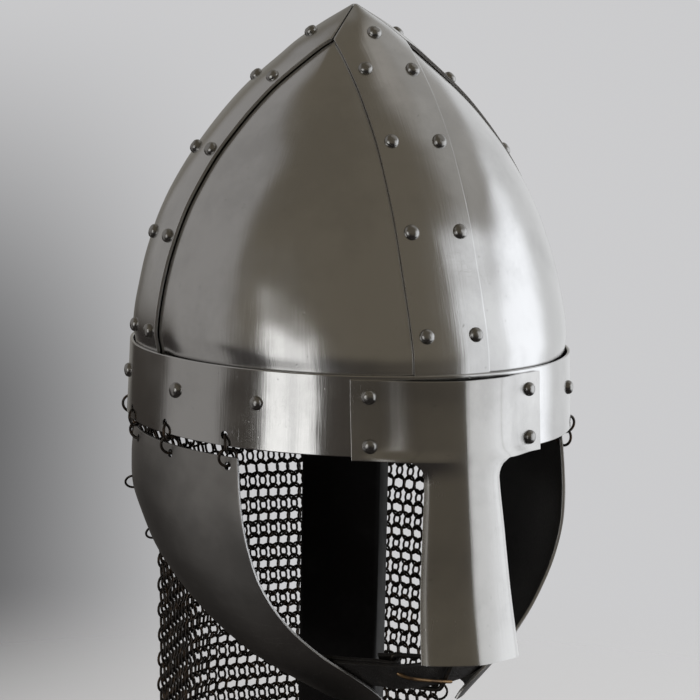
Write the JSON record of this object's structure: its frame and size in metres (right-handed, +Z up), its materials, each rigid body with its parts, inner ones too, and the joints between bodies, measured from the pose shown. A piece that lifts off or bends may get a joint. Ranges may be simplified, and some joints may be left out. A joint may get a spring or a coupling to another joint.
{
  "type": "spangenhelm helmet on a post stand",
  "caption": "Spangenhelm of riveted steel plates and bands with a brow band, nasal guard, hanging cheek plates, a buckled chin strap and a mail curtain, on a plain post stand.",
  "frame": {"origin": "centre of the stand base's underside, under the helmet's own vertical axis", "axes": "+Z up; the helmet faces -Y, and the wearer's right is -X"},
  "size_m": [0.22, 0.26, 0.4573],
  "materials": {
    "polished_steel": "polished, with fine brushed streaks and scratches",
    "satin_steel": "duller satin grey",
    "dark_mail": "blackened steel wire",
    "black_leather": "matt black leather",
    "dark_buckle": "blackened steel",
    "brown_prong": "tarnished",
    "black_wood": "matt black paint"
  },
  "bodies": {
    "root": {"band_front": "polished_steel", "band_left": "polished_steel", "band_rear": "polished_steel", "band_right": "polished_steel", "brow_band": "polished_steel", "buckle_frame": "dark_buckle", "buckle_prong": "brown_prong", "cheek_plate_left": "satin_steel", "cheek_plate_right": "satin_steel", "chin_strap_left": "black_leather", "chin_strap_right": "black_leather", "hanger_lower_left_1": "dark_mail", "hanger_lower_left_2": "dark_mail", "hanger_lower_left_3": "dark_mail", "hanger_lower_right_1": "dark_mail", "hanger_lower_right_2": "dark_mail", "hanger_lower_right_3": "dark_mail", "hanger_upper_left_1": "dark_mail", "hanger_upper_left_2": "dark_mail", "hanger_upper_left_3": "dark_mail", "hanger_upper_right_1": "dark_mail", "hanger_upper_right_2": "dark_mail", "hanger_upper_right_3": "dark_mail", "loose_ring_left_1": "dark_mail", "loose_ring_left_2": "dark_mail", "loose_ring_left_3": "dark_mail", "loose_ring_left_4": "dark_mail", "loose_ring_right_1": "dark_mail", "loose_ring_right_2": "dark_mail", "loose_ring_right_3": "dark_mail", "loose_ring_right_4": "dark_mail", "mail_curtain": "dark_mail", "mail_hanger_left_1": "dark_mail", "mail_hanger_left_2": "dark_mail", "mail_hanger_left_3": "dark_mail", "mail_hanger_right_1": "dark_mail", "mail_hanger_right_2": "dark_mail", "mail_hanger_right_3": "dark_mail", "nasal_guard": "polished_steel", "plate_front_left": "polished_steel", "plate_front_right": "polished_steel", "plate_rear_left": "polished_steel", "plate_rear_right": "polished_steel", "stand_base": "black_wood", "stand_block": "black_wood", "stand_post": "black_wood"}
  },
  "joints": []
}
